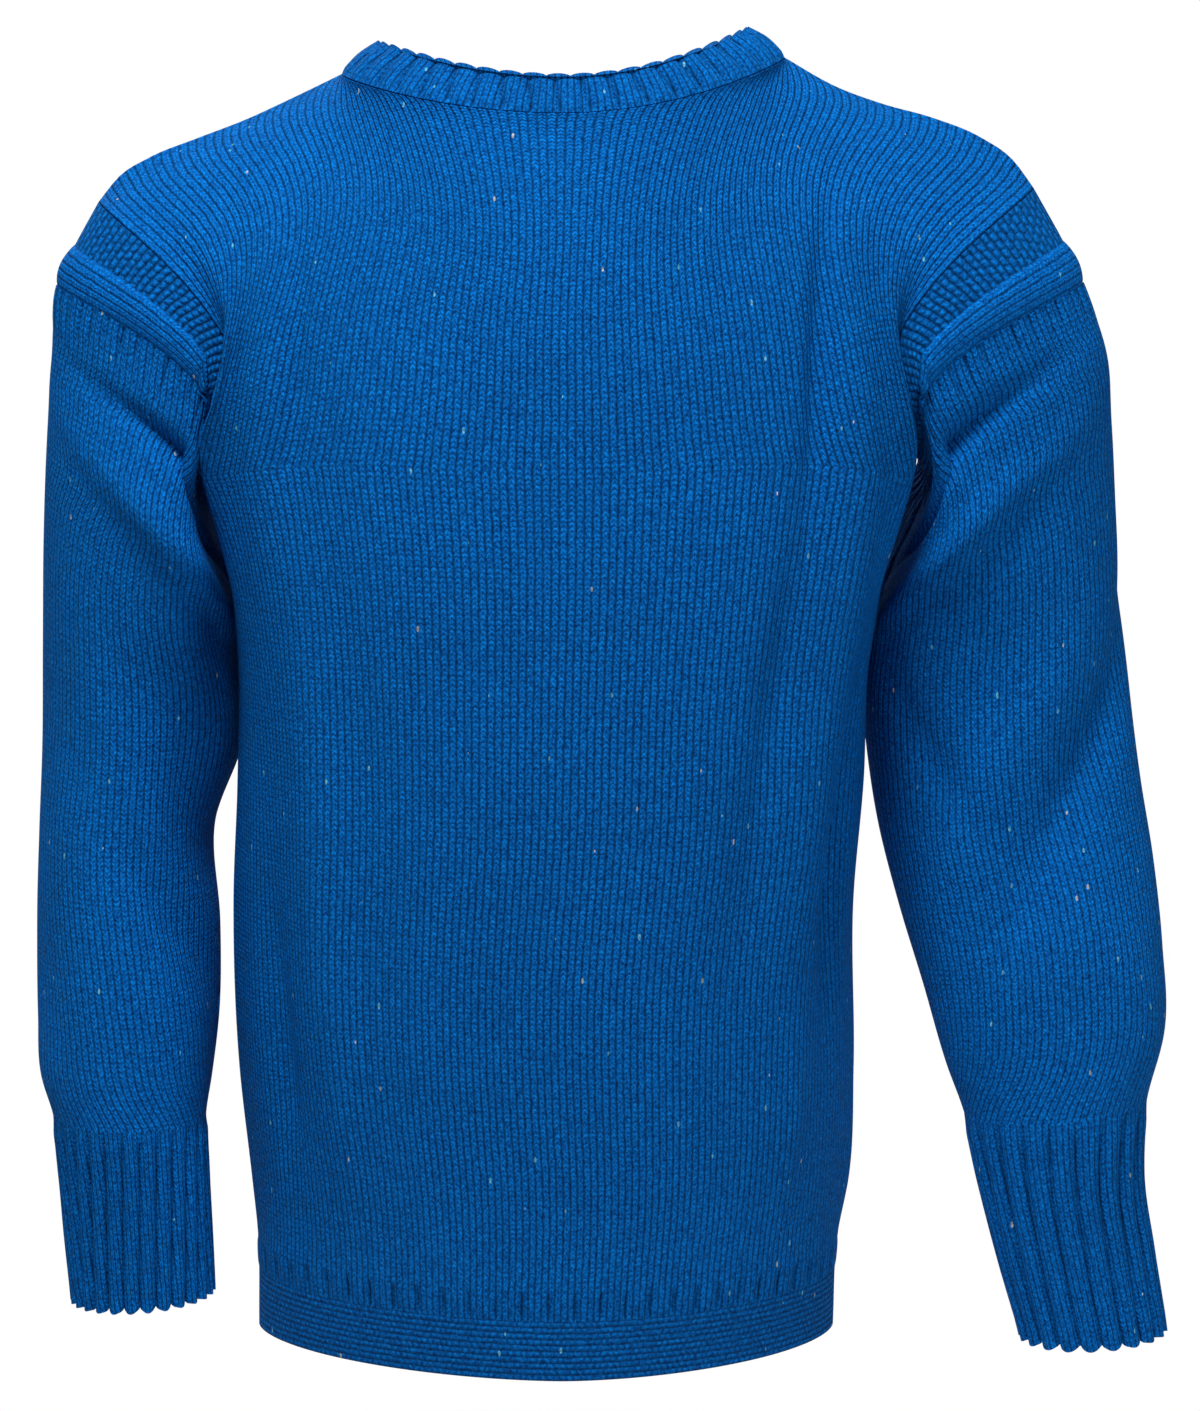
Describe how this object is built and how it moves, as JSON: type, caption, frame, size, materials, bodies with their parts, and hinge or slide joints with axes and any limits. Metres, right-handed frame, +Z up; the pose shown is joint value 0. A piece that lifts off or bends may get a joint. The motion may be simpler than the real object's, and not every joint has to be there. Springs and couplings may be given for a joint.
{
  "type": "guernsey fisherman sweater",
  "caption": "Hollow blue wool guernsey fisherman sweater, filled out as if worn, with ribbed neck, hem and cuffs, garter armhole panels and garter welts.",
  "frame": {"origin": "middle of the neck at the height of the neck seam's sides, where the wearer's shoulders hold the sweater", "axes": "+Z up along the body, -Y to the front, +X to the right of someone looking at the front"},
  "size_m": [0.6005, 0.2427, 0.6881],
  "materials": {
    "stocking_stitch_wool": "heathered cobalt blue worsted wool in stocking stitch, matt with pale flecks",
    "ribbed_wool": "the same wool in deep two-and-two rib",
    "garter_stitch_wool": "the same wool in ridged garter stitch",
    "raised_band_wool": "the same wool in a plump raised band of stocking stitch"
  },
  "bodies": {
    "root": {"armhole_band_left": "raised_band_wool", "armhole_band_right": "raised_band_wool", "armhole_garter_left": "garter_stitch_wool", "armhole_garter_right": "garter_stitch_wool", "body_back": "stocking_stitch_wool", "body_front": "stocking_stitch_wool", "cuff_left": "ribbed_wool", "cuff_right": "ribbed_wool", "hem_rib_back": "ribbed_wool", "hem_rib_front": "ribbed_wool", "neckband": "ribbed_wool", "sleeve_left": "stocking_stitch_wool", "sleeve_right": "stocking_stitch_wool", "welt_back": "garter_stitch_wool", "welt_front": "garter_stitch_wool"}
  },
  "joints": []
}
